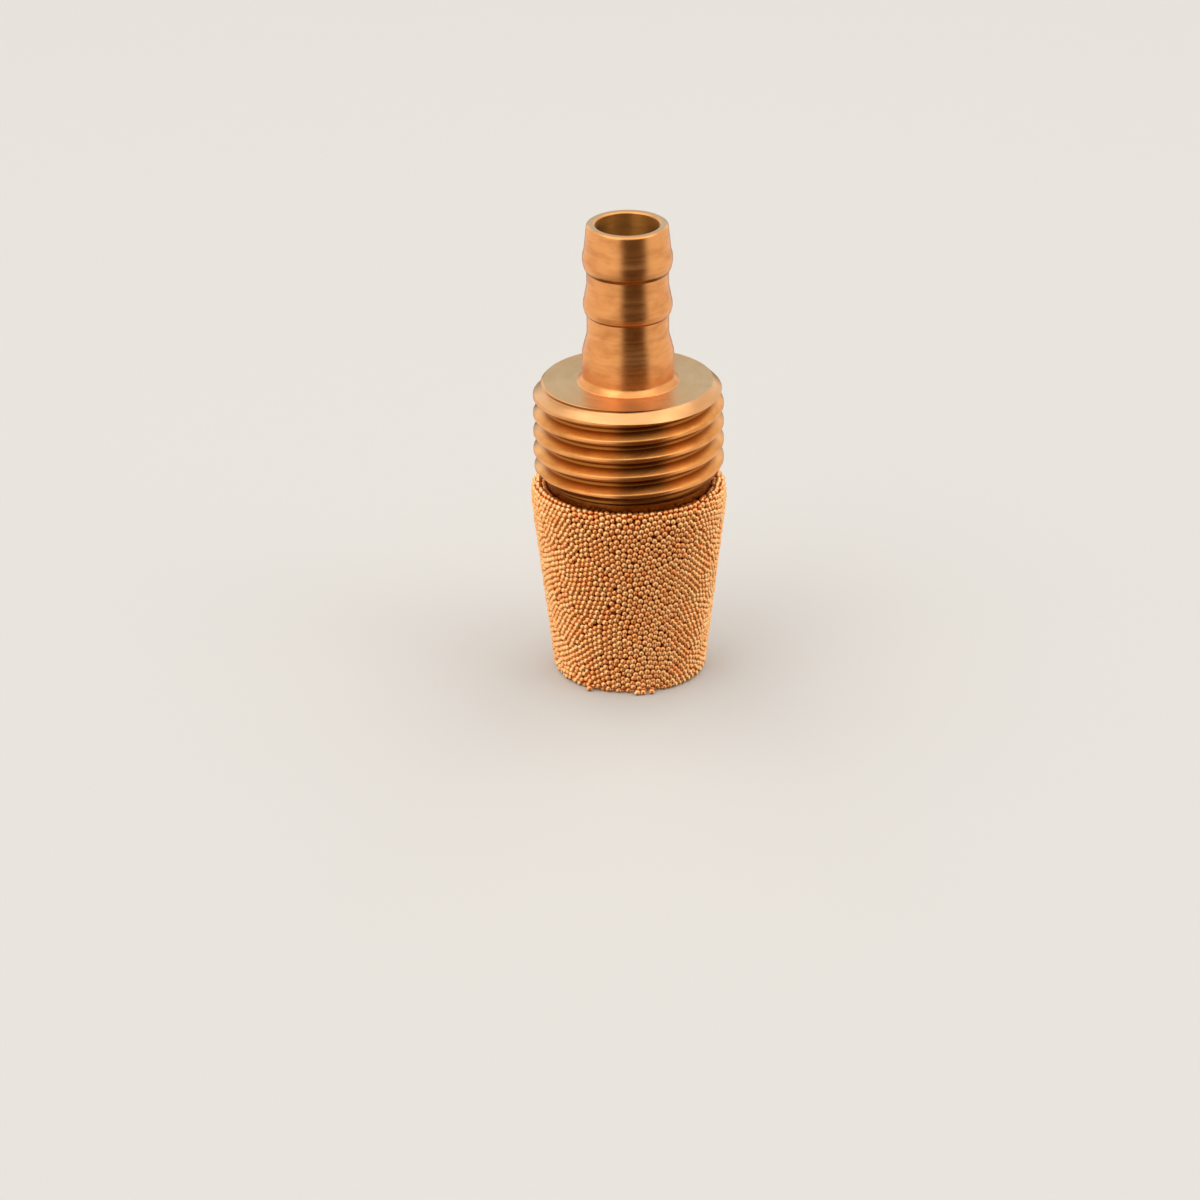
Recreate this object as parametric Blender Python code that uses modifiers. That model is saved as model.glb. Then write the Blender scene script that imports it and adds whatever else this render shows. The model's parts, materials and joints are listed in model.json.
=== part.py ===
"""A small pneumatic muffler: a turned brass hose fitting and the sintered bronze cup on its spigot.

The part stands on the cup's flat base with its axis along +Z, the hose barb on top. The origin is
the centre of the base. Run it with: blender --background --python part.py
"""

import math

import bmesh
import bpy

MM = 0.001
SEGMENTS = 72
EDGE_STEPS = 3
FILLET_STEPS = 4
MERGE = 1e-6

# Hose barb, from the tip down. Radii and heights above the cup's base.
TIP_Z = 24.72 * MM
BORE_R = 1.66 * MM
BORE_CHAMFER = 0.08 * MM
TIP_R = 2.12 * MM
TIP_ROUND = 0.10 * MM
NECK_R = 2.13 * MM

# First ridge: a shoulder, a straight land, then an edge that rolls under in two steps.
BARB_1_R = 2.34 * MM
BARB_1_SHOULDER_DEPTH = 0.09 * MM
BARB_1_SHOULDER_Z = 23.35 * MM
BARB_1_LAND_Z = 23.05 * MM
BARB_1_ROLL_Z = 22.70 * MM
BARB_1_ROLL_DEPTH = 0.07 * MM
BARB_1_EDGE_Z = 22.36 * MM
BARB_1_UNDER_Z = 22.17 * MM

# Second ridge: a long lead, a short land, then a narrow chamfered band above the neck.
BARB_2_R = 2.315 * MM
BARB_2_LEAD_Z = 21.40 * MM
BARB_2_LAND_Z = 20.45 * MM
BARB_2_BAND_Z = 20.25 * MM
BARB_2_BAND_DEPTH = 0.045 * MM
BARB_2_EDGE_Z = 19.92 * MM
BARB_2_UNDER_Z = 19.80 * MM

STEM_R = 2.385 * MM
FLARE_TOP_Z = 18.75 * MM
FLARE_END_Z = 17.75 * MM
FILLET_R = 0.30 * MM

# Collar with an M10 x 1 external thread, right hand.
COLLAR_TOP_Z = 16.10 * MM
COLLAR_BOTTOM_Z = 10.80 * MM
THREAD_MAJOR_R = 4.95 * MM
THREAD_MINOR_R = 4.3866 * MM
THREAD_PITCH = 1.0 * MM
THREAD_ROOT_FLAT = 0.167 * MM
THREAD_HALF_ANGLE = math.radians(30)
GROOVE_START_Z = 9.31 * MM
GROOVE_TURNS = 8
CUTTER_R = 5.08 * MM
TOP_CHAMFER = 0.53 * MM

# Plain spigot under the collar, inside the cup's mouth.
SPIGOT_R = 4.28 * MM
SPIGOT_BOTTOM_Z = 8.00 * MM
SPIGOT_CHAMFER = 0.15 * MM

# Sintered cup: a tapered wall, a flat floor and a rounded lip.
CUP_LIP_R = 5.10 * MM
CUP_LIP_TOP_Z = 10.62 * MM
CUP_LIP_SIDE_Z = 9.95 * MM
CUP_TAPER_TOP_Z = 9.45 * MM
CUP_BASE_R = 3.98 * MM
CUP_BASE_ROUND = 0.25 * MM
CUP_WALL = 0.85 * MM
CUP_FLOOR = 1.00 * MM
FIT_GAP = 0.06 * MM
CUP_SEAT_Z = SPIGOT_BOTTOM_Z - FIT_GAP
CUP_MOUTH_R = SPIGOT_R + FIT_GAP
CUP_MOUTH_EDGE_Z = 10.38 * MM
# The lip's rounding: half of its flat top, and how far its outer corner steps in.
CUP_LIP_FLAT_HALF = 0.127 * MM
CUP_LIP_CORNER = 0.095 * MM

BRASS_COLOUR = (0.70, 0.38, 0.16, 1.0)
BRASS_ROUGHNESS = 0.32
BRONZE_COLOUR = (0.72, 0.36, 0.17, 1.0)
BRONZE_ROUGHNESS = 0.42


def clear_scene():
    """Remove the objects that a new file starts with."""
    for obj in list(bpy.data.objects):
        bpy.data.objects.remove(obj, do_unlink=True)


def new_collection(name):
    """Make a collection under the scene's own."""
    collection = bpy.data.collections.new(name)
    bpy.context.scene.collection.children.link(collection)
    return collection


def metal(name, colour, roughness):
    """Make a plain metal material."""
    material = bpy.data.materials.new(name)
    material.use_nodes = True
    shader = material.node_tree.nodes["Principled BSDF"]
    shader.inputs["Base Color"].default_value = colour
    shader.inputs["Metallic"].default_value = 1.0
    shader.inputs["Roughness"].default_value = roughness
    return material


def arc(centre_r, centre_z, radius, start_deg, end_deg, steps):
    """Points (r, z) along an arc, both ends included. Angle 0 points outwards and 90 points up."""
    points = []
    for i in range(steps + 1):
        angle = math.radians(start_deg + (end_deg - start_deg) * i / steps)
        points.append((centre_r + radius * math.cos(angle), centre_z + radius * math.sin(angle)))
    return points


def profile_mesh(name, points, closed):
    """Make an edge-only mesh of (r, z) points in the XZ plane."""
    mesh = bpy.data.meshes.new(name)
    edges = [(i, i + 1) for i in range(len(points) - 1)]
    if closed:
        edges.append((len(points) - 1, 0))
    mesh.from_pydata([(r, 0.0, z) for r, z in points], edges, [])
    return mesh


def add_screw(obj, turns=1, pitch=0.0):
    """Turn a profile about the Z axis, rising by pitch each turn."""
    screw = obj.modifiers.new("turn", "SCREW")
    screw.axis = "Z"
    screw.angle = math.tau
    screw.iterations = turns
    screw.screw_offset = pitch
    screw.steps = SEGMENTS
    screw.render_steps = SEGMENTS
    screw.use_smooth_shade = True
    screw.use_merge_vertices = pitch == 0.0
    screw.merge_threshold = MERGE
    return screw


def turned(name, points, closed, material, collection):
    """Make a turned piece from its profile."""
    mesh = profile_mesh(name, points, closed)
    mesh.materials.append(material)
    obj = bpy.data.objects.new(name, mesh)
    collection.objects.link(obj)
    add_screw(obj)
    return obj


def barb_profile():
    """The outside of the hose barb and its stem, from the tip down to the collar."""
    points = arc(TIP_R - TIP_ROUND, TIP_Z - TIP_ROUND, TIP_ROUND, 90, 0, EDGE_STEPS)
    points += [
        (BARB_1_R - BARB_1_SHOULDER_DEPTH, BARB_1_SHOULDER_Z),
        (BARB_1_R, BARB_1_LAND_Z),
        (BARB_1_R, BARB_1_ROLL_Z),
        (BARB_1_R - BARB_1_ROLL_DEPTH, BARB_1_EDGE_Z),
        (NECK_R, BARB_1_UNDER_Z),
        (NECK_R, BARB_2_LEAD_Z),
        (BARB_2_R, BARB_2_LAND_Z),
        (BARB_2_R, BARB_2_BAND_Z),
        (BARB_2_R - BARB_2_BAND_DEPTH, BARB_2_EDGE_Z),
        (NECK_R, BARB_2_UNDER_Z),
        (NECK_R, FLARE_TOP_Z),
        (STEM_R, FLARE_END_Z),
    ]
    points += arc(STEM_R + FILLET_R, COLLAR_TOP_Z + FILLET_R, FILLET_R, 180, 270, FILLET_STEPS)
    return points


def collar_profile():
    """The outside of the threaded collar and the spigot, from the collar's top face down."""
    bottom_chamfer = THREAD_MAJOR_R - SPIGOT_R
    return [
        (THREAD_MAJOR_R - TOP_CHAMFER, COLLAR_TOP_Z),
        (THREAD_MAJOR_R, COLLAR_TOP_Z - TOP_CHAMFER),
        (THREAD_MAJOR_R, COLLAR_BOTTOM_Z + bottom_chamfer),
        (SPIGOT_R, COLLAR_BOTTOM_Z),
        (SPIGOT_R, SPIGOT_BOTTOM_Z + SPIGOT_CHAMFER),
        (SPIGOT_R - SPIGOT_CHAMFER, SPIGOT_BOTTOM_Z),
    ]


def bore_profile():
    """The through bore, from the spigot's end up to the tip."""
    return [
        (BORE_R + BORE_CHAMFER, SPIGOT_BOTTOM_Z),
        (BORE_R, SPIGOT_BOTTOM_Z + BORE_CHAMFER),
        (BORE_R, TIP_Z - BORE_CHAMFER),
        (BORE_R + BORE_CHAMFER, TIP_Z),
    ]


def groove_width(radius):
    """The thread groove's width along the axis at a radius."""
    return THREAD_ROOT_FLAT + 2 * (radius - THREAD_MINOR_R) * math.tan(THREAD_HALF_ANGLE)


def thread_cutter(collection):
    """Make the closed helical wedge that cuts the thread's groove and runs out past both faces."""
    outer = groove_width(CUTTER_R) / 2
    inner = groove_width(THREAD_MINOR_R) / 2
    section = [
        (CUTTER_R, GROOVE_START_Z + outer),
        (CUTTER_R, GROOVE_START_Z - outer),
        (THREAD_MINOR_R, GROOVE_START_Z - inner),
        (THREAD_MINOR_R, GROOVE_START_Z + inner),
    ]
    guide = bpy.data.objects.new("thread_guide", profile_mesh("thread_guide", section, True))
    collection.objects.link(guide)
    add_screw(guide, GROOVE_TURNS, THREAD_PITCH)
    swept = bpy.data.meshes.new_from_object(guide.evaluated_get(bpy.context.evaluated_depsgraph_get()))
    bpy.data.objects.remove(guide, do_unlink=True)

    shape = bmesh.new()
    shape.from_mesh(swept)
    bmesh.ops.holes_fill(shape, edges=[edge for edge in shape.edges if edge.is_boundary])
    bmesh.ops.recalc_face_normals(shape, faces=shape.faces)
    shape.to_mesh(swept)
    shape.free()

    cutter = bpy.data.objects.new("thread_cutter", swept)
    cutter.hide_render = True
    cutter.display_type = "WIRE"
    collection.objects.link(cutter)
    return cutter


def build_fitting(collection, cutters):
    """Make the one-piece brass fitting: barb, threaded collar and spigot, bored through."""
    brass = metal("turned_brass", BRASS_COLOUR, BRASS_ROUGHNESS)
    profile = barb_profile() + collar_profile() + bore_profile()
    fitting = turned("barbed_fitting", profile, True, brass, collection)
    cut = fitting.modifiers.new("thread", "BOOLEAN")
    cut.operation = "DIFFERENCE"
    cut.solver = "EXACT"
    cut.object = thread_cutter(cutters)
    weld = fitting.modifiers.new("weld", "WELD")
    weld.merge_threshold = MERGE
    return fitting


def cup_outer_radius(height):
    """The tapered wall's outer radius at a height."""
    share = height / CUP_TAPER_TOP_Z
    return CUP_BASE_R + (CUP_LIP_R - CUP_BASE_R) * share


def build_cup(collection):
    """Make the sintered cup as one closed shell with its mouth open around the spigot."""
    bronze = metal("sintered_bronze", BRONZE_COLOUR, BRONZE_ROUGHNESS)
    lip_centre_r = (CUP_MOUTH_R + CUP_LIP_R) / 2
    inside = [
        (0.0, CUP_FLOOR),
        (cup_outer_radius(CUP_FLOOR) - CUP_WALL, CUP_FLOOR),
        (cup_outer_radius(CUP_SEAT_Z) - CUP_WALL, CUP_SEAT_Z),
        (CUP_MOUTH_R, CUP_SEAT_Z),
        (CUP_MOUTH_R, CUP_MOUTH_EDGE_Z),
    ]
    lip = [
        (lip_centre_r - CUP_LIP_FLAT_HALF, CUP_LIP_TOP_Z),
        (lip_centre_r + CUP_LIP_FLAT_HALF, CUP_LIP_TOP_Z),
        (CUP_LIP_R - CUP_LIP_CORNER, CUP_MOUTH_EDGE_Z),
        (CUP_LIP_R, CUP_LIP_SIDE_Z),
    ]
    outside = [(CUP_LIP_R, CUP_TAPER_TOP_Z)]
    outside += arc(CUP_BASE_R - CUP_BASE_ROUND, CUP_BASE_ROUND, CUP_BASE_ROUND, 0, -90, EDGE_STEPS)
    outside.append((0.0, 0.0))
    return turned("sintered_cup", inside + lip + outside, False, bronze, collection)


def main():
    """Build the muffler's two pieces."""
    clear_scene()
    part = new_collection("pneumatic_muffler")
    cutters = new_collection("cutters")
    build_cup(part)
    build_fitting(part, cutters)


main()
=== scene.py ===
"""Looks of a small pneumatic muffler: a turned brass hose fitting on a cup of sintered bronze balls.

Lengths in the dataclasses are millimetres in the frame's own axes, and MM turns them to metres. The
cup's base is at z = 0 and the hose barb is on top.
"""

import json
import logging
import math
from dataclasses import dataclass, field
from enum import Enum
from typing import Sequence

import bmesh
import bpy
import numpy as np
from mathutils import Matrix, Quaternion, Vector
from mathutils.kdtree import KDTree


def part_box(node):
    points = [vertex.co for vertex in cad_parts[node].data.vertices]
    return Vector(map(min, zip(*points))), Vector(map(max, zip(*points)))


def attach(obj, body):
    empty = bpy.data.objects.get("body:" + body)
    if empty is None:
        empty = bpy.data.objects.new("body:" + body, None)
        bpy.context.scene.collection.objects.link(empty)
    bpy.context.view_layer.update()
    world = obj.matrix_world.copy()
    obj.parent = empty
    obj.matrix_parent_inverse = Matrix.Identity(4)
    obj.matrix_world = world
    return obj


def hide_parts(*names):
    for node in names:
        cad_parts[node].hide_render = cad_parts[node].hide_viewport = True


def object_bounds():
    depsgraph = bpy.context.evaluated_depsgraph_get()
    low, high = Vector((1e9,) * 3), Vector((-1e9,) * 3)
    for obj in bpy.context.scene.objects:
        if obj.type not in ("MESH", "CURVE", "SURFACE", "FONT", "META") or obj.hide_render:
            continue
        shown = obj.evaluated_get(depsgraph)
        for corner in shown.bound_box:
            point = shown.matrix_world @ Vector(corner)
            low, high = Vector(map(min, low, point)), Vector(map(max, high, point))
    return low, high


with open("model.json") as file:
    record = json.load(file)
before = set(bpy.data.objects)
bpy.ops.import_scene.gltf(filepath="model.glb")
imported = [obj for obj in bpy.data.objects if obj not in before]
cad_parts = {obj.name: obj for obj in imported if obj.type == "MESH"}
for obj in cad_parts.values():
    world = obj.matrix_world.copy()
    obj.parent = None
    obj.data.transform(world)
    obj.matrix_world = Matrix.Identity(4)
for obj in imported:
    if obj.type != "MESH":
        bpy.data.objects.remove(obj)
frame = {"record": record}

LOG = logging.getLogger("muffler")
MM = 0.001
MERGE = 1e-7
WELD = 5e-7
CAD_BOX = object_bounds()

Point = tuple[float, float]


# ---------------------------------------------------------------------------------------------------
# Outlines and turned shapes
# ---------------------------------------------------------------------------------------------------


@dataclass(frozen=True)
class Corner:
    """A corner of a turned outline, with the radius that its edge is rounded to."""

    r: float
    z: float
    rounding: float = 0.0

    @property
    def place(self) -> Vector:
        """The corner as a 2D vector (r, z)."""
        return Vector((self.r, self.z))


def rounded_outline(corners: Sequence[Corner], closed: bool, step_deg: float = 12.0) -> list[Point]:
    """Replace each rounded corner with an arc that is tangent to both of its sides.

    Args:
        corners: the outline's corners in order.
        closed: whether the last corner joins the first.
        step_deg: the largest angle between two points of an arc.

    Returns:
        The outline's points as (r, z) in mm.
    """
    points: list[Point] = []
    last = len(corners) - 1
    for index, corner in enumerate(corners):
        is_end = not closed and index in (0, last)
        if is_end or corner.rounding == 0.0:
            points.append((corner.r, corner.z))
            continue
        before = (corners[index - 1].place - corner.place).normalized()
        after = (corners[(index + 1) % len(corners)].place - corner.place).normalized()
        half = before.angle(after) / 2
        centre = corner.place + (before + after).normalized() * (corner.rounding / math.sin(half))
        reach = corner.rounding / math.tan(half)
        start = corner.place + before * reach - centre
        end = corner.place + after * reach - centre
        sweep = math.pi - 2 * half
        steps = max(2, math.ceil(math.degrees(sweep) / step_deg))
        for step in range(steps + 1):
            angle = sweep * step / steps
            spoke = start * math.sin(sweep - angle) + end * math.sin(angle)
            spot = centre + spoke / math.sin(sweep)
            points.append((spot.x, spot.y))
    return points


def spun_mesh(name: str, outline: Sequence[Point], closed: bool, segments: int,
              turns: int = 1, pitch: float = 0.0) -> bpy.types.Mesh:
    """Turn an outline about the Z axis, rising by pitch each turn.

    Args:
        name: the mesh's name.
        outline: (r, z) points in mm.
        closed: whether the outline's last point joins its first.
        segments: facets in a full turn.
        turns: whole turns.
        pitch: rise for each turn in mm. A rising sweep gets flat caps.

    Returns:
        A closed mesh with its faces out.
    """
    profile = bpy.data.meshes.new(name)
    edges = [(index, index + 1) for index in range(len(outline) - 1)]
    if closed:
        edges.append((len(outline) - 1, 0))
    profile.from_pydata([(r * MM, 0.0, z * MM) for r, z in outline], edges, [])
    lathe = new_object(name, profile)
    screw = lathe.modifiers.new("turn", "SCREW")
    screw.angle = math.tau
    screw.iterations = turns
    screw.screw_offset = pitch * MM
    screw.steps = screw.render_steps = segments
    screw.use_merge_vertices = pitch == 0.0
    screw.merge_threshold = MERGE
    swept = applied(lathe)
    bpy.data.objects.remove(lathe, do_unlink=True)

    shape = bmesh.new()
    shape.from_mesh(swept)
    open_edges = [edge for edge in shape.edges if edge.is_boundary]
    bmesh.ops.holes_fill(shape, edges=open_edges)
    bmesh.ops.recalc_face_normals(shape, faces=shape.faces)
    shape.to_mesh(swept)
    shape.free()
    return swept


def applied(piece: bpy.types.Object) -> bpy.types.Mesh:
    """Copy a piece's mesh with its modifiers applied."""
    depsgraph = bpy.context.evaluated_depsgraph_get()
    return bpy.data.meshes.new_from_object(piece.evaluated_get(depsgraph))


def cut_mesh(blank: bpy.types.Mesh, tool: bpy.types.Mesh) -> bpy.types.Mesh:
    """Cut one closed mesh with another.

    Args:
        blank: the mesh to cut.
        tool: the space to cut away.

    Returns:
        The cut mesh.
    """
    stock = new_object("stock", blank)
    cutter = new_object("cutter", tool)
    cut = stock.modifiers.new("cut", "BOOLEAN")
    cut.operation = "DIFFERENCE"
    cut.solver = "EXACT"
    cut.object = cutter
    result = applied(stock)
    for helper in (stock, cutter):
        bpy.data.objects.remove(helper, do_unlink=True)
    return result


def new_object(name: str, mesh: bpy.types.Mesh) -> bpy.types.Object:
    """Put a mesh in the scene as an object.

    Args:
        name: the object's name.
        mesh: its mesh.

    Returns:
        The new object, at the frame's origin.
    """
    made = bpy.data.objects.new(name, mesh)
    bpy.context.scene.collection.objects.link(made)
    return made


def fit_to_frame(piece: bpy.types.Object, node: str) -> None:
    """Let a piece ride on the muffler and stand for a CAD node.

    Args:
        piece: the piece.
        node: the CAD node that it replaces.
    """
    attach(piece, "root")
    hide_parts(node)
    LOG.info("%s: %d faces, replaces %s", piece.name, len(piece.data.polygons), node)


# ---------------------------------------------------------------------------------------------------
# Materials
# ---------------------------------------------------------------------------------------------------


def linear(hex_colour: str) -> tuple[float, float, float, float]:
    """Turn an sRGB hex colour to linear RGBA.

    Args:
        hex_colour: six hex digits.

    Returns:
        Linear red, green, blue and an alpha of 1.
    """
    channels = []
    for start in (0, 2, 4):
        value = int(hex_colour[start:start + 2], 16) / 255
        channels.append(value / 12.92 if value <= 0.04045 else ((value + 0.055) / 1.055) ** 2.4)
    return (*channels, 1.0)


def add_node(tree: bpy.types.NodeTree, kind: str, sockets: dict | None = None,
             **settings: object) -> bpy.types.Node:
    """Add one node, set its properties and fill or link its inputs.

    Args:
        tree: the node tree.
        kind: the node's type name.
        sockets: input name or number to a value, or to the output socket that feeds it.
        settings: the node's own properties.

    Returns:
        The new node.
    """
    node = tree.nodes.new(kind)
    for name, value in settings.items():
        setattr(node, name, value)
    for key, value in (sockets or {}).items():
        if isinstance(value, bpy.types.NodeSocket):
            tree.links.new(value, node.inputs[key])
        else:
            node.inputs[key].default_value = value
    return node


def metal_shader(name: str) -> tuple[bpy.types.Material, bpy.types.NodeTree, bpy.types.Node]:
    """Start a material with a metallic Principled shader.

    Args:
        name: the material's name.

    Returns:
        The material, its tree and the shader node.
    """
    material = bpy.data.materials.new(name)
    material.use_nodes = True
    tree = material.node_tree
    shader = tree.nodes["Principled BSDF"]
    shader.inputs["Metallic"].default_value = 1.0
    return material, tree, shader


@dataclass(frozen=True)
class LathedBrass:
    """Free-cutting brass as a lathe tool leaves it.

    The tool's feed leaves fine rings round the axis, so a highlight spreads along the axis and bright
    and dark reflections run down the part as clean bands. Handling leaves faint browner patches.
    """

    name: str
    bright: str
    tarnished: str
    roughness: float
    anisotropy: float
    ring_pitch: float
    ring_depth: float
    patch_size: float = 0.5
    # Painted shade in a thread's grooves: its colour at the roots, and the radii where it is full and where
    # it ends.
    root_shade_colour: str = ""
    root_r: float = 0.0
    crest_r: float = 0.0
    # How much a step outward moves on through the rings, next to a step along the axis.
    radial_share: float = 0.7
    # Changes per mm across the part, few enough that a ring keeps its tone a long way round.
    changes_round: float = 0.12
    patch_stretch: float = 0.4
    patch_range: tuple[float, float] = (0.42, 0.72)
    ring_range: tuple[float, float] = (0.50, 0.75)
    ring_tarnish: float = 0.45
    gloss_range: tuple[float, float] = (0.3, 0.7)
    gloss_swing: tuple[float, float] = (0.85, 1.2)

    def build(self) -> bpy.types.Material:
        """Make the node material.

        Returns:
            The material.
        """
        material, tree, shader = metal_shader(self.name)
        place = add_node(tree, "ShaderNodeTexCoord").outputs["Object"]
        axes = add_node(tree, "ShaderNodeSeparateXYZ", {0: place}).outputs
        flat = add_node(tree, "ShaderNodeCombineXYZ", {"X": axes["X"], "Y": axes["Y"]})
        radius = add_node(tree, "ShaderNodeVectorMath", {0: flat.outputs[0]}, operation="LENGTH")
        lay = add_node(tree, "ShaderNodeMath",
                       {0: radius.outputs["Value"], 1: self.radial_share, 2: axes["Z"]},
                       operation="MULTIPLY_ADD")
        ring_place = add_node(tree, "ShaderNodeCombineXYZ",
                              {"X": axes["X"], "Y": axes["Y"], "Z": lay.outputs[0]})
        # Rings are stretched round the axis: they change slowly with angle and fast along the tool's path.
        ring_scale = 1.0 / (self.ring_pitch * MM)
        round_scale = self.changes_round / MM
        ring_stretch = add_node(tree, "ShaderNodeVectorMath",
                                {0: ring_place.outputs[0], 1: (round_scale, round_scale, ring_scale)},
                                operation="MULTIPLY")
        rings = add_node(tree, "ShaderNodeTexNoise",
                         {"Vector": ring_stretch.outputs[0], "Scale": 1.0, "Detail": 3.0, "Roughness": 0.6})
        # Patches follow the turning too: they are longer round the axis than along it.
        patch_scale = 1.0 / (self.patch_size * MM)
        patch_round = patch_scale * self.patch_stretch
        patch_stretch = add_node(tree, "ShaderNodeVectorMath",
                                 {0: place, 1: (patch_round, patch_round, patch_scale)},
                                 operation="MULTIPLY")
        patches = add_node(tree, "ShaderNodeTexNoise",
                           {"Vector": patch_stretch.outputs[0], "Scale": 1.0, "Detail": 4.0,
                            "Roughness": 0.55, "Distortion": 0.2})
        patch_share = add_node(tree, "ShaderNodeMapRange",
                               {"Value": patches.outputs["Fac"], "From Min": self.patch_range[0],
                                "From Max": self.patch_range[1]})
        ring_share = add_node(tree, "ShaderNodeMapRange",
                              {"Value": rings.outputs["Fac"], "From Min": self.ring_range[0],
                               "From Max": self.ring_range[1], "To Max": self.ring_tarnish})
        wear = add_node(tree, "ShaderNodeMath", {0: patch_share.outputs[0], 1: ring_share.outputs[0]},
                        operation="MAXIMUM")
        colour = add_node(tree, "ShaderNodeMix",
                          {0: wear.outputs[0], 6: linear(self.bright), 7: linear(self.tarnished)},
                          data_type="RGBA").outputs[2]
        # Painted shade: the colour darkens towards the thread's roots, down in its grooves.
        if self.root_shade_colour:
            depth = add_node(tree, "ShaderNodeMapRange",
                             {"Value": radius.outputs["Value"], "From Min": self.root_r * MM,
                              "From Max": self.crest_r * MM, "To Min": 1.0, "To Max": 0.0},
                             interpolation_type="SMOOTHSTEP")
            colour = add_node(tree, "ShaderNodeMix",
                              {0: depth.outputs[0], 6: colour, 7: linear(self.root_shade_colour)},
                              data_type="RGBA").outputs[2]
        gloss = add_node(tree, "ShaderNodeMapRange",
                         {"Value": rings.outputs["Fac"], "From Min": self.gloss_range[0],
                          "From Max": self.gloss_range[1], "To Min": self.roughness * self.gloss_swing[0],
                          "To Max": self.roughness * self.gloss_swing[1]})
        bump = add_node(tree, "ShaderNodeBump",
                        {"Height": rings.outputs["Fac"], "Strength": 1.0, "Distance": self.ring_depth * MM})
        tangent = add_node(tree, "ShaderNodeTangent", direction_type="RADIAL", axis="Z")
        tree.links.new(colour, shader.inputs["Base Color"])
        tree.links.new(gloss.outputs[0], shader.inputs["Roughness"])
        tree.links.new(bump.outputs[0], shader.inputs["Normal"])
        tree.links.new(tangent.outputs[0], shader.inputs["Tangent"])
        shader.inputs["Anisotropic"].default_value = self.anisotropy
        # A quarter turn sets the spread across the rings.
        shader.inputs["Anisotropic Rotation"].default_value = 0.25
        return material


@dataclass(frozen=True)
class SinteredBronze:
    """Tin bronze powder balls, sintered together without pressure.

    Each ball keeps a smooth satin skin that carries one small highlight. Balls differ a little in
    tone, and each ball's side that faces into the cup is painted darker, as painted shade in the
    necks and crevices between them.
    """

    name: str
    bright: str
    dull: str
    crevice_shade_colour: str
    roughness: float
    # A ball's skin keeps its own tone down to the first of these facings and is all painted crevice shade at
    # the second.
    bare_to_crevice_shade: tuple[float, float] = (0.45, -0.15)
    pit_size: float = 0.05
    pit_depth: float = 0.004
    gloss_range: tuple[float, float] = (0.35, 0.65)
    gloss_swing: tuple[float, float] = (0.85, 1.2)

    def build(self) -> bpy.types.Material:
        """Make the node material.

        Returns:
            The material.
        """
        material, tree, shader = metal_shader(self.name)
        place = add_node(tree, "ShaderNodeTexCoord").outputs["Object"]
        tone = add_node(tree, "ShaderNodeAttribute", attribute_name="tone").outputs["Fac"]
        facing = add_node(tree, "ShaderNodeAttribute", attribute_name="facing").outputs["Fac"]
        skin = add_node(tree, "ShaderNodeMix",
                        {0: tone, 6: linear(self.bright), 7: linear(self.dull)}, data_type="RGBA")
        shade_share = add_node(tree, "ShaderNodeMapRange",
                          {"Value": facing, "From Min": self.bare_to_crevice_shade[0],
                           "From Max": self.bare_to_crevice_shade[1], "To Min": 0.0, "To Max": 1.0},
                          interpolation_type="SMOOTHSTEP")
        # Painted shade: a ball's colour darkens towards its side that faces into the cup.
        colour = add_node(tree, "ShaderNodeMix",
                          {0: shade_share.outputs[0], 6: skin.outputs[2], 7: linear(self.crevice_shade_colour)}, data_type="RGBA")
        # Powder skin has finer pits than these, which are drawn coarser so that they show.
        pits = add_node(tree, "ShaderNodeTexNoise",
                        {"Vector": place, "Scale": 1.0 / (self.pit_size * MM), "Detail": 2.0,
                         "Roughness": 0.5})
        gloss = add_node(tree, "ShaderNodeMapRange",
                         {"Value": pits.outputs["Fac"], "From Min": self.gloss_range[0],
                          "From Max": self.gloss_range[1], "To Min": self.roughness * self.gloss_swing[0],
                          "To Max": self.roughness * self.gloss_swing[1]})
        bump = add_node(tree, "ShaderNodeBump",
                        {"Height": pits.outputs["Fac"], "Strength": 1.0, "Distance": self.pit_depth * MM})
        tree.links.new(colour.outputs[2], shader.inputs["Base Color"])
        tree.links.new(gloss.outputs[0], shader.inputs["Roughness"])
        tree.links.new(bump.outputs[0], shader.inputs["Normal"])
        return material


# ---------------------------------------------------------------------------------------------------
# The brass fitting
# ---------------------------------------------------------------------------------------------------


class Cut(Enum):
    """How a face of the fitting was cut. The value is its place in the material list."""

    TURNED = 0
    FACED = 1
    THREADED = 2
    BORED = 3
    JOINT = 4


FITTING_FINISHES: dict[Cut, LathedBrass] = {
    # Outside diameters: clean bands of reflection with fine rings.
    Cut.TURNED: LathedBrass("turned_brass", "E2A265", "C98850", 0.33, 0.62, 0.11, 0.0016),
    # Flat faces: a facing cut's rings seen from above give a broader sheen, and their colour is painted paler
    # as a painted sheen.
    Cut.FACED: LathedBrass("faced_brass", "D9A775", "CF9D6A", 0.36, 0.6, 0.09, 0.0014),
    # Thread: painted browner towards the roots as painted shade in the grooves, brightest on the crests.
    Cut.THREADED: LathedBrass("thread_cut_brass", "D8964E", "BC7E3E", 0.29, 0.5, 0.06, 0.0012,
                              root_shade_colour="A0662C", root_r=4.40, crest_r=4.75),
    # Bore: drilled and rougher, with its colour painted darker as shade inside the hole.
    Cut.BORED: LathedBrass("drilled_brass", "B8803E", "966A32", 0.55, 0.97, 0.10, 0.0020),
    # Lower chamfer, spigot and the undersides of the ridges: turned metal painted dark brown as painted shade
    # under the ridges and in the joint with the cup.
    Cut.JOINT: LathedBrass("shade_painted_brass", "96622C", "7E5020", 0.34, 0.4, 0.11, 0.0016),
}


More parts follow.
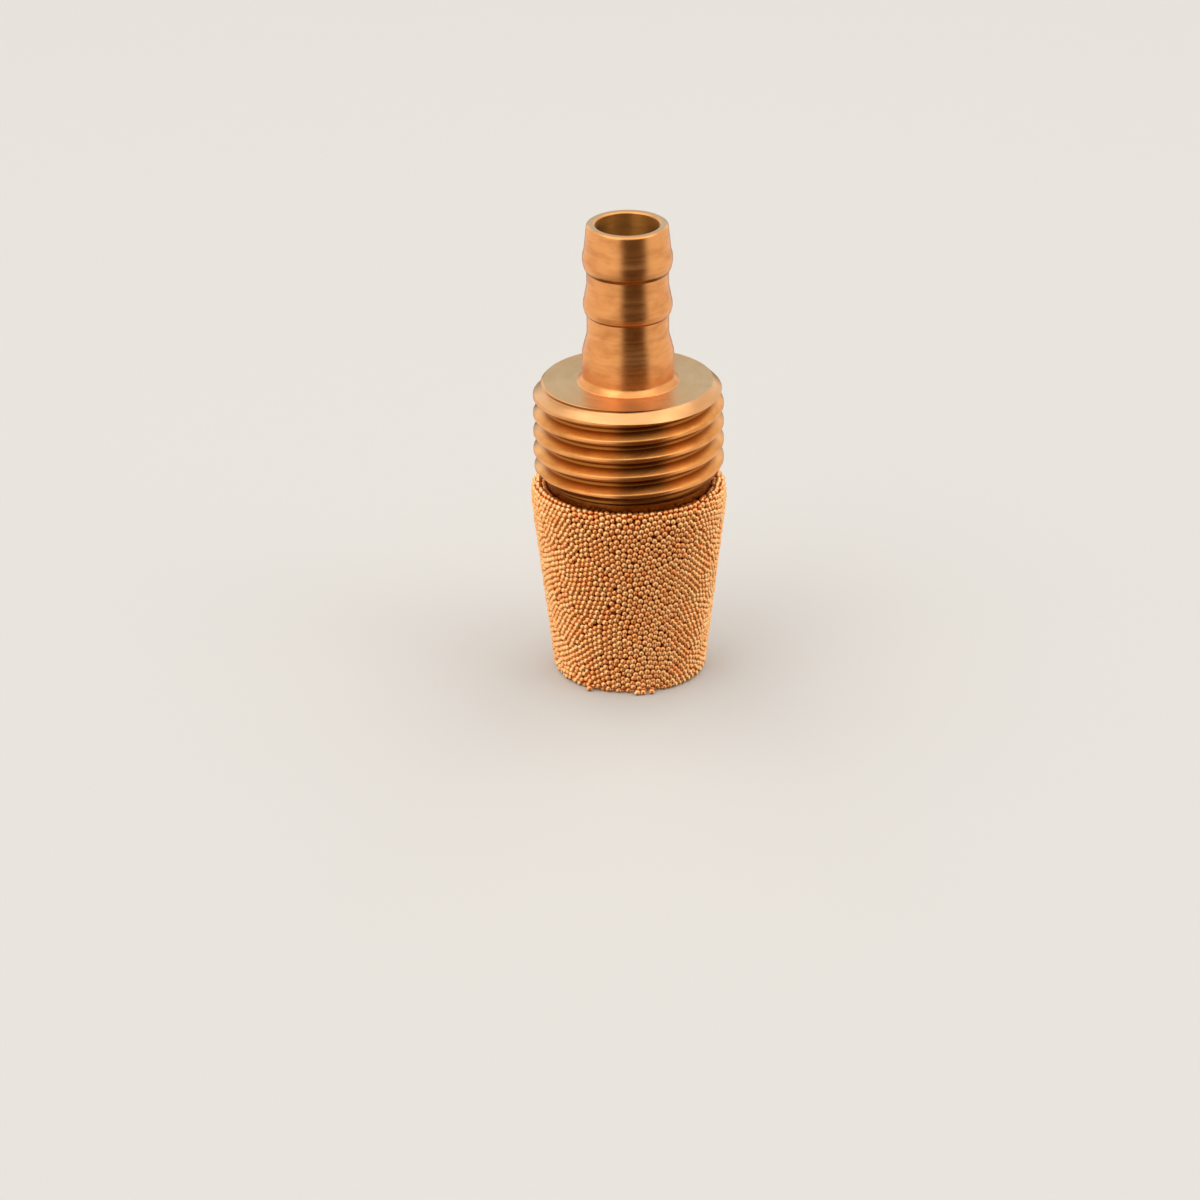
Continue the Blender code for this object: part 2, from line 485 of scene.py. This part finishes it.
@dataclass
class Thread:
    """A metric fine external thread, right hand."""

    major_r: float = 4.95
    minor_r: float = 4.3866
    pitch: float = 1.0
    half_angle: float = math.radians(30)
    root_flat: float = 0.167
    crest_rounding: float = 0.115
    root_rounding: float = 0.14
    start_z: float = 10.31
    turns: int = 7
    clearance_r: float = 5.08
    # The cutter's shelf lies just outside the crests, and its own turns stop short of each other.
    crest_clearance: float = 0.004
    turn_gap: float = 0.02

    def groove_half_width(self, radius: float) -> float:
        """Half of the groove's width along the axis at a radius."""
        return self.root_flat / 2 + (radius - self.minor_r) * math.tan(self.half_angle)

    def groove_section(self) -> list[Point]:
        """The groove cutter's section, with rounded roots and lips that round the crests.

        Returns:
            (r, z) points in mm, in a loop.
        """
        shelf_r = self.major_r + self.crest_clearance
        shelf_half = self.pitch / 2 - self.turn_gap
        lip_half = self.groove_half_width(shelf_r)
        root_half = self.groove_half_width(self.minor_r)
        upper = [
            Corner(self.clearance_r, shelf_half),
            Corner(shelf_r, shelf_half),
            Corner(shelf_r, lip_half, self.crest_rounding),
            Corner(self.minor_r, root_half, self.root_rounding),
        ]
        lower = [Corner(c.r, -c.z, c.rounding) for c in reversed(upper)]
        loop = [Corner(c.r, c.z + self.start_z, c.rounding) for c in upper + lower]
        return rounded_outline(loop, closed=True, step_deg=20.0)


@dataclass
class BrassFitting:
    """The one-piece hose fitting: barb, threaded collar and spigot, bored through."""

    node: str = "barbed_fitting"
    slot: str = "turned_brass"
    segments: int = 192
    thread: Thread = field(default_factory=Thread)
    tip_z: float = 24.72
    collar_top_z: float = 16.10
    collar_bottom_z: float = 10.80
    spigot_z: float = 8.00
    bore_r: float = 1.66
    tip_r: float = 2.12
    neck_r: float = 2.13
    first_barb_r: float = 2.34
    second_barb_r: float = 2.315
    stem_r: float = 2.385
    spigot_r: float = 4.28
    top_chamfer: float = 0.53
    sharp_angle: float = math.radians(28)
    # Drops below the tip. First ridge: its slope's end, its crest's two ends, its edge and its foot.
    # Second ridge: its slope's start and then the same. Flare: its start and its end.
    first_ridge: tuple[float, ...] = (1.40, 1.67, 2.02, 2.36, 2.56)
    second_ridge: tuple[float, ...] = (3.32, 4.27, 4.47, 4.80, 4.92)
    flare: tuple[float, float] = (5.97, 6.97)
    # How far the slope's end and the edges lie inside their ridge's crest.
    slope_inset: float = 0.08
    first_edge_inset: float = 0.085
    second_edge_inset: float = 0.09
    # The stem's foot: height and width of the cone that the fillet is made from.
    foot_rise: float = 0.32
    foot_reach: float = 0.27
    # How far a face's centre may lie off the surface that it belongs to.
    bore_margin: float = 0.01
    groove_margin: float = 0.03
    chamfer_margin: float = 0.09
    # The least share of its normal along the axis: of a flat face, the top chamfer and an underside.
    flat_share: float = 0.95
    chamfer_share: float = 0.3
    underside_share: float = 0.35

    @classmethod
    def from_frame(cls) -> "BrassFitting":
        """Take the heights of the tip, the collar's face and the spigot's end from the frame.

        Returns:
            The fitting, ready to build.
        """
        low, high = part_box(cls.node)
        faces = {mount["name"]: mount["pos_m"][2] / MM for mount in frame["record"]["mounts"]}
        return cls(tip_z=high[2] / MM, collar_top_z=faces["collar_face"], spigot_z=low[2] / MM)

    def barb_corners(self) -> list[Corner]:
        """The outside from the tip's rim down to the foot of the stem.

        Returns:
            The outline's corners, over both ridges of the barb.
        """
        first = [self.tip_z - drop for drop in self.first_ridge]
        second = [self.tip_z - drop for drop in self.second_ridge]
        flare = [self.tip_z - drop for drop in self.flare]
        return [
            Corner(self.tip_r, self.tip_z, 0.15),
            Corner(self.first_barb_r - self.slope_inset, first[0], 0.8),
            Corner(self.first_barb_r, first[1], 0.12),
            Corner(self.first_barb_r, first[2], 0.8),
            Corner(self.first_barb_r - self.first_edge_inset, first[3], 0.5),
            Corner(self.neck_r, first[4], 0.03),
            Corner(self.neck_r, second[0], 0.5),
            Corner(self.second_barb_r, second[1], 0.25),
            Corner(self.second_barb_r, second[2], 0.05),
            Corner(self.second_barb_r - self.second_edge_inset, second[3], 0.05),
            Corner(self.neck_r, second[4], 0.03),
            Corner(self.neck_r, flare[0], 0.5),
            Corner(self.stem_r, flare[1], 0.5),
            Corner(self.stem_r, self.collar_top_z + self.foot_rise, 0.2),
            Corner(self.stem_r + self.foot_reach, self.collar_top_z, 0.12),
        ]

    def collar_corners(self) -> list[Corner]:
        """The outside from the collar's top face down to the spigot's end.

        Returns:
            The outline's corners, before the thread is cut.
        """
        major = self.thread.major_r
        bottom_chamfer = major - self.spigot_r
        return [
            Corner(major - self.top_chamfer, self.collar_top_z, 0.04),
            Corner(major, self.collar_top_z - self.top_chamfer, 0.04),
            Corner(major, self.collar_bottom_z + bottom_chamfer, 0.04),
            Corner(self.spigot_r, self.collar_bottom_z, 0.06),
            Corner(self.spigot_r, self.spigot_z, 0.15),
        ]

    def bore_corners(self) -> list[Corner]:
        """The bore from the spigot's end up to the tip.

        Returns:
            The outline's corners.
        """
        return [
            Corner(self.bore_r, self.spigot_z, 0.08),
            Corner(self.bore_r, self.tip_z, 0.12),
        ]

    def cut_of(self, face: bmesh.types.BMFace) -> Cut:
        """Say how a face was cut, from where it lies.

        Args:
            face: a face of the finished mesh.

        Returns:
            The kind of cut.
        """
        centre = face.calc_center_median() / MM
        radius = math.hypot(centre.x, centre.y)
        outward = face.normal.x * centre.x + face.normal.y * centre.y
        if radius < self.bore_r + self.bore_margin and outward < 0.0:
            return Cut.BORED
        if abs(face.normal.z) > self.flat_share:
            return Cut.FACED
        # Painted shade: the joint with the cup and the undersides of the ridges take the dark finish.
        in_joint = centre.z < self.collar_bottom_z + self.thread.major_r - self.spigot_r
        under_ridge = centre.z > self.collar_top_z and face.normal.z < -self.underside_share
        if in_joint or under_ridge:
            return Cut.JOINT
        in_collar = centre.z < self.collar_top_z and radius > self.spigot_r + self.groove_margin
        chamfer_foot_z = self.collar_top_z - self.top_chamfer - self.chamfer_margin
        if in_collar and face.normal.z > self.chamfer_share and centre.z > chamfer_foot_z:
            return Cut.FACED
        if in_collar and radius < self.thread.major_r - self.groove_margin:
            return Cut.THREADED
        return Cut.TURNED

    def build(self) -> bpy.types.Object:
        """Turn the blank, cut its thread and dress every face by its cut.

        Returns:
            The fitting.
        """
        corners = self.barb_corners() + self.collar_corners() + self.bore_corners()
        outline = rounded_outline(corners, closed=True)
        blank = spun_mesh("blank", outline, True, self.segments)
        groove = spun_mesh("groove", self.thread.groove_section(), True, self.segments,
                           self.thread.turns, self.thread.pitch)
        mesh = cut_mesh(blank, groove)
        self.dress(mesh)
        fitting = new_object("brass_fitting", mesh)
        fit_to_frame(fitting, self.node)
        return fitting

    def dress(self, mesh: bpy.types.Mesh) -> None:
        """Clean the cut mesh, give each face its finish and shade it smooth between sharp edges.

        Args:
            mesh: the fitting's mesh.
        """
        mesh.materials.clear()
        for cut in Cut:
            mesh.materials.append(FITTING_FINISHES[cut].build())
        shape = bmesh.new()
        shape.from_mesh(mesh)
        bmesh.ops.remove_doubles(shape, verts=shape.verts, dist=WELD)
        bmesh.ops.dissolve_degenerate(shape, edges=shape.edges, dist=MERGE)
        for face in shape.faces:
            face.material_index = self.cut_of(face).value
        shape.to_mesh(mesh)
        shape.free()
        mesh.shade_smooth()
        mesh.set_sharp_from_angle(angle=self.sharp_angle)


# ---------------------------------------------------------------------------------------------------
# The sintered cup
# ---------------------------------------------------------------------------------------------------


@dataclass
class BallPacking:
    """Balls that lie side by side on a surface of revolution and touch their neighbours.

    The path holds the (r, z) line in mm that the balls' centres lie on. It runs over the lip, down
    the outside and in to the axis, so that the outside is on its left.
    """

    path: np.ndarray
    diameter: float
    spread: float
    fill: float
    seed: int
    rounds: int
    swell: float = 0.12
    # The balls have shrunk to their own size after this share of the rounds.
    shrunk_after: float = 0.8
    largest_change: float = 0.16
    # Rounds between two searches for neighbours, and how far a search reaches, in diameters.
    search_every: int = 8
    search_reach: float = 1.6

    def __post_init__(self) -> None:
        """Set up the path's stretches and the random draws."""
        self.rng = np.random.default_rng(self.seed)
        self.starts = self.path[:-1]
        self.runs = self.path[1:] - self.path[:-1]
        self.lengths = np.linalg.norm(self.runs, axis=1)
        middle_r = (self.path[1:, 0] + self.path[:-1, 0]) / 2
        self.areas = math.tau * middle_r * self.lengths

    def scatter(self) -> np.ndarray:
        """Throw the balls' centres over the surface, evenly for its area.

        Returns:
            Centres in mm, one row each.
        """
        ball_area = math.pi * self.diameter**2 / 4
        count = int(self.areas.sum() * self.fill / ball_area)
        stretch = self.rng.choice(len(self.areas), count, p=self.areas / self.areas.sum())
        along = self.rng.random(count)
        spots = self.starts[stretch] + self.runs[stretch] * along[:, None]
        angle = self.rng.random(count) * math.tau
        return np.column_stack((spots[:, 0] * np.cos(angle), spots[:, 0] * np.sin(angle), spots[:, 1]))

    def settle(self, centres: np.ndarray) -> tuple[np.ndarray, np.ndarray]:
        """Bring centres back to the path's surface.

        Args:
            centres: points near the surface.

        Returns:
            The nearest points on the surface and the outward normals there.
        """
        radius = np.maximum(np.hypot(centres[:, 0], centres[:, 1]), 1e-6)
        spot = np.column_stack((radius, centres[:, 2]))
        offset = spot[:, None, :] - self.starts[None]
        share = np.clip((offset * self.runs).sum(2) / self.lengths**2, 0.0, 1.0)
        nearest = self.starts + share[..., None] * self.runs
        gap = np.linalg.norm(spot[:, None, :] - nearest, axis=2)
        best = gap.argmin(1)
        rows = np.arange(len(centres))
        landed = nearest[rows, best]
        way = self.runs[best] / self.lengths[best][:, None]
        unit = centres[:, :2] / radius[:, None]
        placed = np.column_stack((unit * landed[:, :1], landed[:, 1]))
        normals = np.column_stack((unit * -way[:, 1:], way[:, 0]))
        return placed, normals

    def neighbours(self, centres: np.ndarray, reach: float) -> tuple[np.ndarray, np.ndarray]:
        """Find the pairs of balls that may touch.

        Args:
            centres: the balls' centres.
            reach: how near two centres must be.

        Returns:
            The first and the second ball of each pair, as two index arrays.
        """
        tree = KDTree(len(centres))
        for index, centre in enumerate(centres):
            tree.insert(centre, index)
        tree.balance()
        pairs = [
            (index, other)
            for index, centre in enumerate(centres)
            for _, other, _ in tree.find_range(centre, reach)
            if other > index
        ]
        first, second = np.array(pairs).T
        return first, second

    def pack(self) -> tuple[np.ndarray, np.ndarray, np.ndarray]:
        """Push overlapping balls apart until they lie side by side.

        Returns:
            Centres, outward normals and radii.
        """
        centres = self.scatter()
        count = len(centres)
        change = self.rng.normal(0.0, self.spread, count).clip(-self.largest_change, self.largest_change)
        radii = self.diameter / 2 * (1.0 + change)
        centres, normals = self.settle(centres)
        for turn in range(self.rounds):
            if turn % self.search_every == 0:
                first, second = self.neighbours(centres, self.diameter * self.search_reach)
                touching = radii[first] + radii[second]
            # The balls start out swollen, which spreads them evenly, and shrink to their size.
            swelling = 1.0 + self.swell * max(0.0, 1.0 - turn / (self.rounds * self.shrunk_after))
            apart = centres[first] - centres[second]
            distance = np.linalg.norm(apart, axis=1)
            overlap = np.maximum(touching * swelling - distance, 0.0)
            push = apart * (overlap / np.maximum(distance, 1e-6) * 0.5)[:, None]
            moved = centres.copy()
            np.add.at(moved, first, push)
            np.subtract.at(moved, second, push)
            centres, normals = self.settle(moved)
        return centres, normals, radii


@dataclass(frozen=True)
class BallSkin:
    """The mesh that one ball is drawn with: an icosphere of 20 or 80 faces."""

    subdivisions: int
    # Above 1, so that more balls are bright than dull.
    tone_bias: float = 1.6

    def template(self) -> tuple[np.ndarray, np.ndarray]:
        """Make the unit ball.

        Returns:
            Its points and its triangles.
        """
        shape = bmesh.new()
        bmesh.ops.create_icosphere(shape, subdivisions=self.subdivisions, radius=1.0)
        points = np.array([vert.co[:] for vert in shape.verts])
        faces = np.array([[vert.index for vert in face.verts] for face in shape.faces])
        shape.free()
        return points, faces

    def mesh(self, name: str, centres: np.ndarray, normals: np.ndarray, radii: np.ndarray,
             rng: np.random.Generator) -> bpy.types.Mesh:
        """Draw every ball in one mesh, each turned its own way, with its tone and how it faces out.

        Args:
            name: the mesh's name.
            centres: ball centres in mm.
            normals: the cup's outward normals there.
            radii: ball radii in mm.
            rng: the source of random turns and tones.

        Returns:
            The mesh.
        """
        points, faces = self.template()
        count = len(centres)
        turns = np.linalg.qr(rng.normal(size=(count, 3, 3)))[0]
        turns[:, :, 0] *= np.linalg.det(turns)[:, None]
        spokes = np.einsum("nij,vj->nvi", turns, points)
        verts = (centres[:, None, :] + spokes * radii[:, None, None]) * MM
        shifts = np.arange(count)[:, None, None] * len(points)
        triangles = (faces[None] + shifts).reshape(-1, 3)
        mesh = bpy.data.meshes.new(name)
        mesh.from_pydata(verts.reshape(-1, 3).tolist(), [], triangles.tolist())
        facing = np.einsum("nvi,ni->nv", spokes, normals).ravel()
        tone = np.repeat(rng.random(count) ** self.tone_bias, len(points))
        for attribute, values in (("facing", facing), ("tone", tone)):
            layer = mesh.attributes.new(attribute, "FLOAT", "POINT")
            layer.data.foreach_set("value", values.astype(np.float32))
        mesh.shade_smooth()
        return mesh


@dataclass
class SinteredCup:
    """The porous cup: a layer of balls over a second one and a core, both painted darker as shade, open at
    the mouth.
    """

    node: str = "sintered_cup"
    slot: str = "sintered_bronze"
    seed: int = 7
    ball: float = 0.31
    lip_r: float = 5.10
    mouth_r: float = 4.24
    lip_centre_z: float = 10.15
    taper_top_z: float = 9.45
    base_r: float = 3.98
    base_rounding: float = 0.25
    wall: float = 0.85
    floor: float = 1.00
    seat_z: float = 7.94
    depth_of_second_layer: float = 0.20
    # The second layer's first point on its line, partway round the lip's inner bend. The spigot
    # covers what lies further in.
    second_layer_start: int = 4
    stray_angles: tuple[float, ...] = (-121.0, -84.8, -80.6, -74.2)
    # A stray ball's distance outside the base's radius, and its height, in ball diameters.
    stray_reach: float = 0.42
    stray_height: float = 0.53
    size_spreads: tuple[float, float] = (0.06, 0.05)
    fills: tuple[float, float] = (0.892, 0.85)
    growths: tuple[float, float] = (1.04, 1.05)
    rounds: tuple[int, int] = (200, 60)
    quick_rounds: tuple[int, int] = (20, 10)
    # Outer balls stand back from the surface by random amounts, which breaks up the sheen.
    set_back_mean: float = 0.016
    set_back_limit: float = 0.07
    # How far the ball line starts below the lip's centre, and the share of the lip that it bends over,
    # just short of all so that its two arcs don't meet.
    line_start_drop: float = 0.4
    bend_share: float = 0.999
    # Balls inside the base's edge belong to the base when their centres are lower than this many
    # ball diameters.
    base_band: float = 0.6
    # The core: its depth behind the surface in ball diameters, how far its seat lies outside the
    # mouth's radius, its top below the lip's centre, and its cavity's top inside the wall.
    core_depth: float = 1.25
    seat_outset: float = 0.06
    core_top_drop: float = 0.05
    cavity_inset: float = 0.15

    def __post_init__(self) -> None:
        """Set up the random draws and the finishes."""
        self.rng = np.random.default_rng(self.seed)
        # Outer balls: bare satin bronze, so each one carries its own highlight; the third colour is the
        # painted shade in the crevices between them.
        skin = SinteredBronze("sintered_bronze_balls", "FFD092", "F8AE6A", "D87E3E", 0.40)
        # Balls and body below them: the same bronze painted browner and duller as painted shade, so the gaps
        # look deep.
        shaded_depths = SinteredBronze("sintered_bronze_painted_shade", "F0A860", "D88E4C", "C07434", 0.55)
        self.bronze = skin.build()
        self.shaded_bronze = shaded_depths.build()

    def centre_line(self, depth: float) -> np.ndarray:
        """The line that a layer's ball centres lie on.

        Args:
            depth: how far the line lies inside the cup's outer surface.

        Returns:
            (r, z) points in mm from the mouth over the lip and down to the middle of the base.
        """
        inner_r = self.mouth_r + depth
        outer_r = self.lip_r - depth
        bend = (outer_r - inner_r) / 2
        corners = [
            Corner(inner_r, self.lip_centre_z - self.line_start_drop),
            Corner(inner_r, self.lip_centre_z + bend, bend * self.bend_share),
            Corner(outer_r, self.lip_centre_z + bend, bend * self.bend_share),
            Corner(outer_r, self.taper_top_z, 1.0),
            Corner(self.base_r - depth, depth, max(self.base_rounding - depth, 0.03)),
            Corner(0.0, depth),
        ]
        return np.array(rounded_outline(corners, closed=False))

    def band_of(self, centres: np.ndarray) -> dict[str, np.ndarray]:
        """Share the balls out among the pieces that the cup is made in.

        Args:
            centres: ball centres.

        Returns:
            Piece name to a mask of its balls.
        """
        height = centres[:, 2]
        radius = np.hypot(centres[:, 0], centres[:, 1])
        on_base = (height < self.ball * self.base_band) & (radius < self.base_r - self.ball)
        on_lip = height > self.lip_centre_z
        lower, upper = self.lip_centre_z / 3, self.lip_centre_z * 2 / 3
        wall = ~on_base & ~on_lip
        return {
            "base_balls": on_base,
            "wall_balls_lower": wall & (height < lower),
            "wall_balls_middle": wall & (height >= lower) & (height < upper),
            "wall_balls_upper": wall & (height >= upper),
            "lip_balls": on_lip,
        }

    def outer_layer(self) -> list[bpy.types.Object]:
        """Pack the visible balls, let some stand back a little, and make them band by band.

        Returns:
            The pieces.
        """
        rounds = self.rounds[0]
        packing = BallPacking(self.centre_line(self.ball / 2), self.ball, self.size_spreads[0],
                              self.fills[0], self.seed, rounds)
        centres, normals, radii = packing.pack()
        set_back = self.rng.exponential(self.set_back_mean, len(centres)).clip(0.0, self.set_back_limit)
        centres = centres - normals * set_back[:, None]
        stray_centres, stray_normals = self.stray_balls()
        centres = np.vstack((centres, stray_centres))
        normals = np.vstack((normals, stray_normals))
        radii = np.append(radii, np.full(len(stray_centres), self.ball / 2))
        skin = BallSkin(2)
        pieces = []
        for name, mask in self.band_of(centres).items():
            mesh = skin.mesh(name, centres[mask], normals[mask], radii[mask] * self.growths[0], self.rng)
            mesh.materials.append(self.bronze)
            pieces.append(new_object(name, mesh))
        return pieces

    def stray_balls(self) -> tuple[np.ndarray, np.ndarray]:
        """Place the few balls that stuck to the foot of the wall, one ball further out.

        Returns:
            Their centres in mm and outward normals.
        """
        angles = np.radians(self.stray_angles)
        normals = np.column_stack((np.cos(angles), np.sin(angles), np.zeros(len(angles))))
        centres = normals * (self.base_r + self.ball * self.stray_reach)
        centres[:, 2] = self.ball * self.stray_height
        return centres, normals

    def second_layer(self) -> bpy.types.Object:
        """Pack the balls that show only through the gaps.

        Returns:
            The piece.
        """
        depth = self.ball / 2 + self.depth_of_second_layer
        rounds = self.rounds[1]
        outside = self.centre_line(depth)[self.second_layer_start:]
        packing = BallPacking(outside, self.ball, self.size_spreads[1], self.fills[1], self.seed + 1, rounds)
        centres, normals, radii = packing.pack()
        mesh = BallSkin(1).mesh("second_layer_balls", centres, normals, radii * self.growths[1], self.rng)
        # Painted shade: the second layer takes the darker copy of the bronze.
        mesh.materials.append(self.shaded_bronze)
        return new_object("second_layer_balls", mesh)

    def core(self) -> bpy.types.Object:
        """Make the body of the cup behind the balls, hollow inside, painted dark as shade.

        Returns:
            The piece.
        """
        depth = self.ball * self.core_depth
        cavity_top_r = self.lip_r - self.wall - self.cavity_inset
        seat_r = self.mouth_r + self.seat_outset
        top_z = self.lip_centre_z - self.core_top_drop
        corners = [
            Corner(0.0, self.floor),
            Corner(self.base_r - self.wall, self.floor, 0.3),
            Corner(cavity_top_r, self.seat_z, 0.05),
            Corner(seat_r, self.seat_z, 0.03),
            Corner(seat_r, top_z, 0.05),
            Corner(self.lip_r - depth, top_z, 0.1),
            Corner(self.lip_r - depth, self.taper_top_z, 1.0),
            Corner(self.base_r - depth, depth, 0.1),
            Corner(0.0, depth),
        ]
        mesh = spun_mesh("cup_core", rounded_outline(corners, closed=False), False, 96)
        # A facing of 0 paints the core mostly in the crevice shade colour.
        for attribute, value in (("facing", 0.0), ("tone", 0.5)):
            layer = mesh.attributes.new(attribute, "FLOAT", "POINT")
            layer.data.foreach_set("value", np.full(len(mesh.vertices), value, dtype=np.float32))
        mesh.materials.append(self.shaded_bronze)
        mesh.shade_smooth()
        mesh.set_sharp_from_angle(angle=math.radians(40))
        return new_object("cup_core", mesh)

    def build(self) -> list[bpy.types.Object]:
        """Make the cup's pieces and fit them to the frame.

        Returns:
            The pieces.
        """
        pieces = self.outer_layer() + [self.second_layer(), self.core()]
        for piece in pieces:
            fit_to_frame(piece, self.node)
        return pieces


# ---------------------------------------------------------------------------------------------------
# Studio
# ---------------------------------------------------------------------------------------------------


@dataclass(frozen=True)
class Panel:
    """A soft-edged patch of light on the studio's walls, wide enough to wrap round the muffler.

    Angles are in degrees. Azimuth is from the camera's side, positive to its right, and elevation
    is from the floor.
    """

    azimuths: tuple[float, float]
    elevations: tuple[float, float]
    radiance: float
    colour: str
    azimuth_edge: float = 10.0
    elevation_edge: float = 9.0

    def mask(self, tree: bpy.types.NodeTree, azimuth: bpy.types.NodeSocket,
             elevation: bpy.types.NodeSocket) -> bpy.types.NodeSocket:
        """Draw the patch.

        Args:
            tree: the world's node tree.
            azimuth: the direction's azimuth.
            elevation: the direction's elevation.

        Returns:
            The patch's strength, from 0 to its radiance.
        """
        strength: float | bpy.types.NodeSocket = self.radiance
        spans = (
            (azimuth, self.azimuths, self.azimuth_edge),
            (elevation, self.elevations, self.elevation_edge),
        )
        for angle, (low, high), edge in spans:
            for bound, way in ((low, 1.0), (high, -1.0)):
                side = add_node(tree, "ShaderNodeMapRange",
                                {"Value": angle, "From Min": bound - way * edge,
                                 "From Max": bound + way * edge},
                                interpolation_type="SMOOTHSTEP")
                product = add_node(tree, "ShaderNodeMath", {0: side.outputs[0], 1: strength},
                                   operation="MULTIPLY")
                strength = product.outputs[0]
        return strength


WARM_LIGHT = "FFF6EC"
COOL_LIGHT = "D5F5FF"


@dataclass
class Studio:
    """A pale floor, a room with soft light panels, a lamp overhead and the camera."""

    floor_colour: str = "C6CACE"
    # Metres from the floor's middle to its sides.
    floor_reach: float = 2.0
    floor_roughness: float = 0.9
    floor_specular: float = 0.2
    room_colour: str = "FFC070"
    room_fill: float = 0.09
    wall_colour: str = "DDDBD7"
    camera_distance: float = 390.0
    camera_elevation: float = math.radians(24.14)
    camera_roll: float = math.radians(0.45)
    focal_length: float = 222.15
    sensor_width: float = 36.0
    clip_start: float = 20.0
    aim: tuple[float, float, float] = (-1.553, 0.0, 3.64)
    lamp_height: float = 420.0
    lamp_size: float = 580.0
    lamp_radiance: float = 1.65
    lamp_colour: str = "FFF6EA"
    panels: tuple[Panel, ...] = (
        Panel((-160.0, -17.0), (-47.0, 62.0), 1.0, WARM_LIGHT),
        Panel((51.0, 160.0), (-47.0, 62.0), 0.96, WARM_LIGHT),
        Panel((-200.0, -150.0), (6.0, 40.0), 1.0, COOL_LIGHT),
        Panel((150.0, 200.0), (6.0, 40.0), 1.0, COOL_LIGHT),
        Panel((-75.0, 80.0), (28.0, 58.0), 0.75, WARM_LIGHT, 14.0),
    )

    def build_floor(self) -> bpy.types.Object:
        """Lay the floor: a pale matt sheet that metal doesn't mirror, as if the lamps reached below it.

        Returns:
            The floor.
        """
        low, _ = CAD_BOX
        shape = bmesh.new()
        bmesh.ops.create_grid(shape, x_segments=2, y_segments=2, size=self.floor_reach)
        mesh = bpy.data.meshes.new("floor")
        shape.to_mesh(mesh)
        shape.free()
        floor = new_object("floor", mesh)
        floor.location.z = low[2]
        floor.visible_glossy = False
        floor.visible_shadow = False
        material = bpy.data.materials.new("matt_paper")
        material.use_nodes = True
        shader = material.node_tree.nodes["Principled BSDF"]
        shader.inputs["Base Color"].default_value = linear(self.floor_colour)
        shader.inputs["Roughness"].default_value = self.floor_roughness
        shader.inputs["Specular IOR Level"].default_value = self.floor_specular
        mesh.materials.append(material)
        return floor

    def build_room(self) -> None:
        """Light the room with its panels and a dim fill, and show a pale wall to the camera."""
        world = bpy.data.worlds.new("studio_room")
        world.use_nodes = True
        tree = world.node_tree
        tree.nodes.clear()
        direction = add_node(tree, "ShaderNodeTexCoord").outputs["Generated"]
        axes = add_node(tree, "ShaderNodeSeparateXYZ", {0: direction}).outputs
        forward = add_node(tree, "ShaderNodeMath", {0: axes["Y"], 1: -1.0}, operation="MULTIPLY")
        turn = add_node(tree, "ShaderNodeMath", {0: axes["X"], 1: forward.outputs[0]}, operation="ARCTAN2")
        azimuth = add_node(tree, "ShaderNodeMath", {0: turn.outputs[0]}, operation="DEGREES").outputs[0]
        rise = add_node(tree, "ShaderNodeMath", {0: axes["Z"]}, operation="ARCSINE")
        elevation = add_node(tree, "ShaderNodeMath", {0: rise.outputs[0]}, operation="DEGREES").outputs[0]
        light = add_node(tree, "ShaderNodeBackground",
                         {"Color": linear(self.room_colour), "Strength": self.room_fill}).outputs[0]
        for panel in self.panels:
            glow = add_node(tree, "ShaderNodeBackground",
                            {"Color": linear(panel.colour), "Strength": panel.mask(tree, azimuth, elevation)})
            light = add_node(tree, "ShaderNodeAddShader", {0: light, 1: glow.outputs[0]}).outputs[0]
        pale = add_node(tree, "ShaderNodeBackground", {"Color": linear(self.wall_colour), "Strength": 1.0})
        ray = add_node(tree, "ShaderNodeLightPath").outputs["Is Camera Ray"]
        mixed = add_node(tree, "ShaderNodeMixShader", {0: ray, 1: light, 2: pale.outputs[0]})
        add_node(tree, "ShaderNodeOutputWorld", {"Surface": mixed.outputs[0]})
        bpy.context.scene.world = world

    def build_lamp(self) -> bpy.types.Object:
        """Hang the square lamp overhead.

        Returns:
            The lamp.
        """
        lamp = bpy.data.lights.new("top_softbox", "AREA")
        lamp.size = self.lamp_size * MM
        lamp.energy = self.lamp_radiance * math.pi * lamp.size**2
        lamp.color = linear(self.lamp_colour)[:3]
        hung = bpy.data.objects.new("top_softbox", lamp)
        hung.location.z = self.lamp_height * MM
        hung.visible_camera = False
        bpy.context.scene.collection.objects.link(hung)
        return hung

    def build_camera(self) -> bpy.types.Object:
        """Set the long-lens camera in front and above.

        Returns:
            The camera.
        """
        lens = bpy.data.cameras.new("camera")
        lens.lens = self.focal_length
        lens.sensor_width = self.sensor_width
        lens.clip_start = self.clip_start * MM
        camera = bpy.data.objects.new("camera", lens)
        distance = self.camera_distance * MM
        camera.location = (
            0.0,
            -distance * math.cos(self.camera_elevation),
            distance * math.sin(self.camera_elevation),
        )
        sight = Vector(self.aim) * MM - camera.location
        roll = Quaternion((0.0, 0.0, 1.0), -self.camera_roll)
        camera.rotation_mode = "QUATERNION"
        camera.rotation_quaternion = sight.to_track_quat("-Z", "Y") @ roll
        bpy.context.scene.collection.objects.link(camera)
        bpy.context.scene.camera = camera
        return camera

    def build(self) -> None:
        """Build the floor, the room, the lamp and the camera."""
        self.build_floor()
        self.build_room()
        self.build_lamp()
        self.build_camera()
        view = bpy.context.scene.view_settings
        view.view_transform = "Standard"
        view.look = "None"


def main() -> None:
    """Build the studio, then the fitting and the cup."""
    logging.basicConfig(level=logging.INFO, format="%(name)s: %(message)s")
    Studio().build()
    BrassFitting.from_frame().build()
    SinteredCup().build()


if __name__ == "__main__":
    main()
